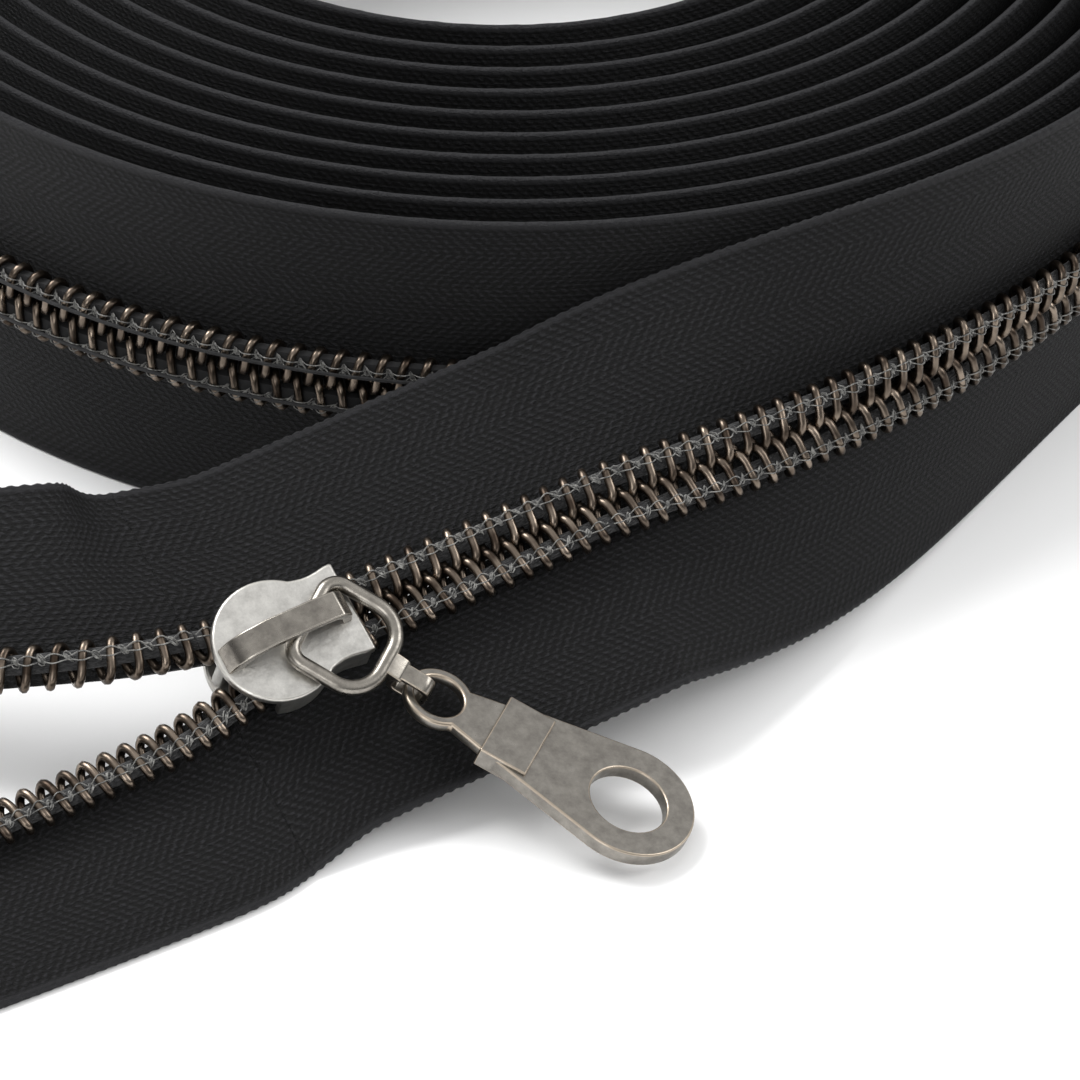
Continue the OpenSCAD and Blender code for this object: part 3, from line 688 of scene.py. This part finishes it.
tumbled = plated("tumbled_nickel_zinc_casting", "#a6a4a0", "#d6d4cf", "#c9c6bf", 0.38, 0.00004)
arc = [math.radians(a) for a in np.linspace(180, 52, 22)]
half_outline = [(SHOULDER_R - TAIL + SHOULDER_R * math.cos(a), SHOULDER_R * math.sin(a)) for a in arc]
half_outline += [(2.45, 3.5), (2.95, 3.4), (3.5, 3.38), (4.1, 3.44), (4.8, TAIL_WIDE / 2 - 0.04),
                 (TAIL, TAIL_WIDE / 2)]
plate = half_outline + [(x, -y) for x, y in reversed(half_outline[1:])]
diamond_half = [(-5.3, 0.2), (-5.1, 0.5), (-4.8, 0.58), (-4.0, 0.42), (-3.0, 0.2), (-2.4, 0.06)]
diamond = diamond_half + [(x, -y) for x, y in reversed(diamond_half)]
casting = [(slab([plate], BASE_N - PLATE_THICK, BASE_N, 0.24, 3), ON_SLIDER),
           (slab([plate], PLATE_N, PLATE_N + PLATE_THICK, 0.24, 3), ON_SLIDER),
           (slab([diamond], BASE_N - 0.1, PLATE_N + 0.1, 0.05), ON_SLIDER)]
WALL_FROM = -2.4
for side in SIDES.values():
    wall_us = np.linspace(WALL_FROM, TAIL - 0.2, 9)
    inner = [(x, side * (CHAIN_WIDE / 2 + 0.12 + spread(x + SLIDER_U))) for x in wall_us]
    outer = [(x, side * (y - 0.12)) for x, y in half_outline if x > WALL_FROM and x < TAIL]
    outer = [(WALL_FROM, side * 4.2)] + outer + [(TAIL - 0.2, side * (TAIL_WIDE / 2 - 0.12))]
    casting.append((slab([inner + outer[::-1]], SLOT_N, PLATE_N + 0.1, 0.02, 1), ON_SLIDER))
body = joined("slider_casting", casting, tumbled)
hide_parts("slider_body")
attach(body, "slider")

# The strap: a flat strip of the same casting that arches over the top plate, and holds the ring.
# It is rubbed smoother than the plate, with a steep front leg and a squared tail. Its colour is painted
# darker than the plate's, a painted reflection of dark surroundings.
STRAP_WIDE, STRAP_THICK, STRAP_HIGH = 2.0, 0.75, 2.5
rubbed_nickel_painted_dark = plated("rubbed_nickel_strap_painted_dark", "#66625d", "#98938b", "#b9b3a9", 0.27, 0.00001)
strap_outer = [(-5.1, 0), (-4.5, 1.1), (-3.95, 1.62), (-3.3, 2.0), (-1.6, STRAP_HIGH), (1.8, STRAP_HIGH),
               (3.9, 2.2), (4.6, 1.5), (4.85, 0)]
strap_inner = [(4.1, 0), (3.8, 1.2), (3.2, STRAP_HIGH - STRAP_THICK - 0.05), (1.6, STRAP_HIGH - STRAP_THICK),
               (-1.4, STRAP_HIGH - STRAP_THICK), (-2.8, 1.35), (-3.7, 0.6), (-3.95, 0)]
EDGE_ON = Matrix.Rotation(math.pi / 2, 4, "X")
ON_PLATE = ON_SLIDER @ Matrix.Translation((0, 0, PLATE_N + PLATE_THICK)) @ EDGE_ON
strap = joined("slider_strap", [(slab([strap_outer + strap_inner], -STRAP_WIDE / 2, STRAP_WIDE / 2, 0.13, 2),
                                 ON_PLATE)], rubbed_nickel_painted_dark)
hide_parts("slider_bridge")
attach(strap, "slider")

# The pull's link: a D-shaped ring cast from round rod, with a neck that folds round the tab's eye.
# Antiqued pewter plate, dark in its hollows and bright where it rubs.
RING_THICK, RING_PLATE, RING_LONG, RING_WIDE = 0.95, 0.2, 6.35, 6.8
RING_YAW, RING_DIP = math.radians(-55), math.radians(5)
CORNER_BAR, CORNER_NECK = 1.2, 2.5
HOOK_WIDE, NECK_WIDE, HOOK_P, HOOK_DROP, HOOK_SIZE, HOOK_THICK = 1.3, 1.75, 8.7, -1.3, (3.1, 2.9), 0.45
pewter = plated("antiqued_pewter_plate", "#6b6761", "#9d9890", "#b9ac9b", 0.3, 0.00001)
ON_RING = (ON_SLIDER @ Matrix.Translation((1.85, 0.35, PLATE_N + PLATE_THICK + RING_THICK / 2 + 0.4))
           @ Matrix.Rotation(RING_YAW, 4, "Z") @ Matrix.Rotation(RING_DIP, 4, "Y"))


def corner(x, y, r, start, turn, steps):
    return [(x + r * math.cos(start + turn * i / steps), y + r * math.sin(start + turn * i / steps), 0)
            for i in range(steps + 1)]


q, quarter = RING_WIDE / 2, math.pi / 2
loop = (corner(CORNER_BAR, q - CORNER_BAR, CORNER_BAR, 2 * quarter, -quarter, 8)
        + corner(RING_LONG - CORNER_NECK, q - CORNER_NECK, CORNER_NECK, quarter, -quarter, 12)
        + corner(RING_LONG - CORNER_NECK, CORNER_NECK - q, CORNER_NECK, 0, -quarter, 12)
        + corner(CORNER_BAR, CORNER_BAR - q, CORNER_BAR, -quarter, -quarter, 8))
ring = wire_mesh("ring", [(loop, None, True)], RING_THICK + RING_PLATE, 4)


def round_box(size, r, steps=5):
    """A rounded rectangle's outline about its middle."""
    half_x, half_y = size[0] / 2 - r, size[1] / 2 - r
    return [(sx * half_x + r * math.cos(a), sy * half_y + r * math.sin(a))
            for k, (sx, sy) in enumerate(((1, 1), (-1, 1), (-1, -1), (1, -1)))
            for a in [quarter * (k + i / steps) for i in range(steps + 1)]]


neck = [(-0.5, -0.4), (0.45, -0.75), (1.03, -1.05), (1.03, -0.7), (1.2, -0.28), (1.7, -0.08), (1.3, 0.28),
        (0.3, 0.42), (-0.15, 0.42)]
hook = slab([round_box(HOOK_SIZE, 0.85), round_box([s - 2 * HOOK_THICK for s in HOOK_SIZE], 0.4)],
            -HOOK_WIDE / 2, HOOK_WIDE / 2, 0.1)
link = joined("pull_ring_and_hook", [
    (ring, ON_RING),
    (hook, ON_RING @ Matrix.Translation((HOOK_P, 0, HOOK_DROP)) @ EDGE_ON),
    (slab([neck], -NECK_WIDE / 2, NECK_WIDE / 2, 0.12),
     ON_RING @ Matrix.Translation((RING_LONG, 0, 0)) @ EDGE_ON)], pewter)
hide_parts("pull_link")
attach(link, "pull_link")

# The pull's tab: one flat casting with an eye, a raised collar with crisp sides, and a round holed end.
# The same antiqued plate, with coppery edges where the plate has rubbed thin.
TAB_LONG, TAB_THICK, TAB_END, TAB_HOLE = 15.3, 1.2, 10.0, 5.8
TAB_TURN, TAB_DIP, TAB_ROLL = (math.radians(a) for a in (-56, -0.5, -22))
EYE_R, EYE_HOLE, EYE_THICK = 2.6, 1.85, 0.85
COLLAR_FROM, COLLAR_TO, COLLAR_WIDE, COLLAR_THICK = 4.4, 8.1, 6.1, 1.7
worn_pewter = plated("antiqued_pewter_plate_worn", "#6f6b66", "#96928b", "#bfae99", 0.33, 0.000012)
ON_TAB = (ON_RING @ Matrix.Translation((HOOK_P + (EYE_R + EYE_HOLE) / 2, 0, HOOK_DROP))
          @ Matrix.Rotation(TAB_TURN - RING_YAW, 4, "Z") @ Matrix.Rotation(TAB_DIP - RING_DIP, 4, "Y")
          @ Matrix.Rotation(TAB_ROLL, 4, "X"))


def circle(x, r, start=0.0, turn=2 * math.pi, steps=40, whole=True):
    return [(x + r * math.cos(start + turn * i / steps), r * math.sin(start + turn * i / steps))
            for i in range(steps + (not whole))]


# The body's straight sides run from the collar to where they touch the round end
shoulder = (COLLAR_FROM + 0.2, COLLAR_WIDE / 2 - 0.25)
reach = math.hypot(TAB_LONG - shoulder[0], shoulder[1])
touch = (math.pi - math.atan2(shoulder[1], TAB_LONG - shoulder[0])) - math.acos(TAB_END / 2 / reach)
round_end = circle(TAB_LONG, TAB_END / 2, -touch, 2 * touch, whole=False)
blade = [(shoulder[0], -shoulder[1])] + round_end + [shoulder]
gusset = math.atan2(1.7, 1.6)
eye = ([(COLLAR_FROM + 0.2, 2.6)] + circle(0, EYE_R, gusset, 2 * math.pi - 2 * gusset, 36, False)
       + [(COLLAR_FROM + 0.2, -2.6)])
collar = [(COLLAR_FROM, -COLLAR_WIDE / 2), (COLLAR_TO, -COLLAR_WIDE / 2), (COLLAR_TO, COLLAR_WIDE / 2),
          (COLLAR_FROM, COLLAR_WIDE / 2)]
tab = joined("pull_tab_plate", [
    (slab([blade, circle(TAB_LONG, TAB_HOLE / 2)], -TAB_THICK / 2, TAB_THICK / 2, 0.14), ON_TAB),
    (slab([collar], -COLLAR_THICK / 2, COLLAR_THICK / 2, 0.13), ON_TAB),
    (slab([eye, circle(0, EYE_HOLE, steps=36)], -EYE_THICK / 2, EYE_THICK / 2, 0.2), ON_TAB)], worn_pewter)
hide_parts("pull_tab")
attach(tab, "pull_tab")
